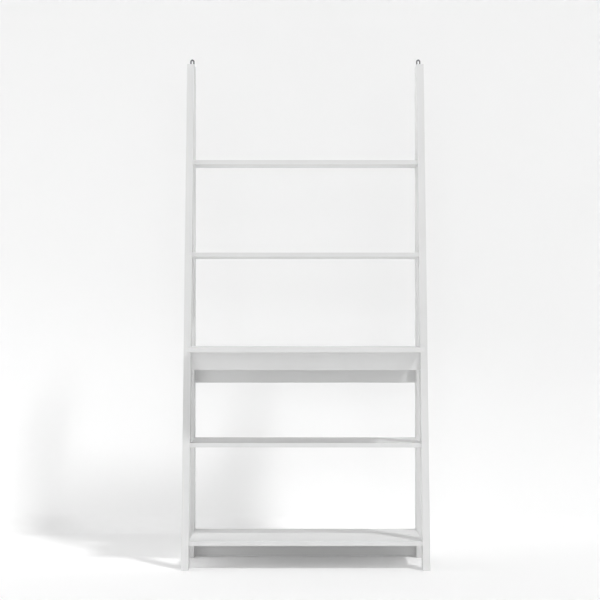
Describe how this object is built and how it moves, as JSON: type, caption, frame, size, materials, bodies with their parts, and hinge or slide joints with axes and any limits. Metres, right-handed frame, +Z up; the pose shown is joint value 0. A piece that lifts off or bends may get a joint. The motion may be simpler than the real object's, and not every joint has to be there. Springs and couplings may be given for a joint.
{
  "type": "ladder desk",
  "caption": "White ladder desk: a desk board and open shelves between two side frames of an upright post and a leaning leg, held to the wall by slotted brackets.",
  "frame": {"origin": "on the floor, at the centre of the footprint of the whole desk (bottom centre of its box)", "axes": "+Z up, +Y to the wall at the back, -Y to the user, +X to the right as seen from the front"},
  "size_m": [0.838, 0.5, 1.781],
  "materials": {
    "white_lacquer": "satin white lacquer on engineered wood",
    "bracket_steel": "dull grey zinc plating",
    "screw_steel": "bright zinc plating",
    "cap_plastic": "fine matt white",
    "dowel_wood": "plain beech"
  },
  "bodies": {
    "root": {"left_rear_post": "white_lacquer", "left_front_leg": "white_lacquer", "right_rear_post": "white_lacquer", "right_front_leg": "white_lacquer", "top_shelf": "white_lacquer", "upper_shelf": "white_lacquer", "desk_top": "white_lacquer", "lower_shelf": "white_lacquer", "bottom_shelf": "white_lacquer", "desk_apron": "white_lacquer", "desk_back_rail": "white_lacquer", "bottom_back_rail": "white_lacquer", "left_wall_bracket": "bracket_steel", "right_wall_bracket": "bracket_steel", "bracket_screws": "screw_steel", "connecting_screws": "screw_steel", "screw_caps": "cap_plastic", "end_dowels": "dowel_wood", "frame_dowels": "dowel_wood", "rail_dowels": "dowel_wood"}
  },
  "joints": []
}
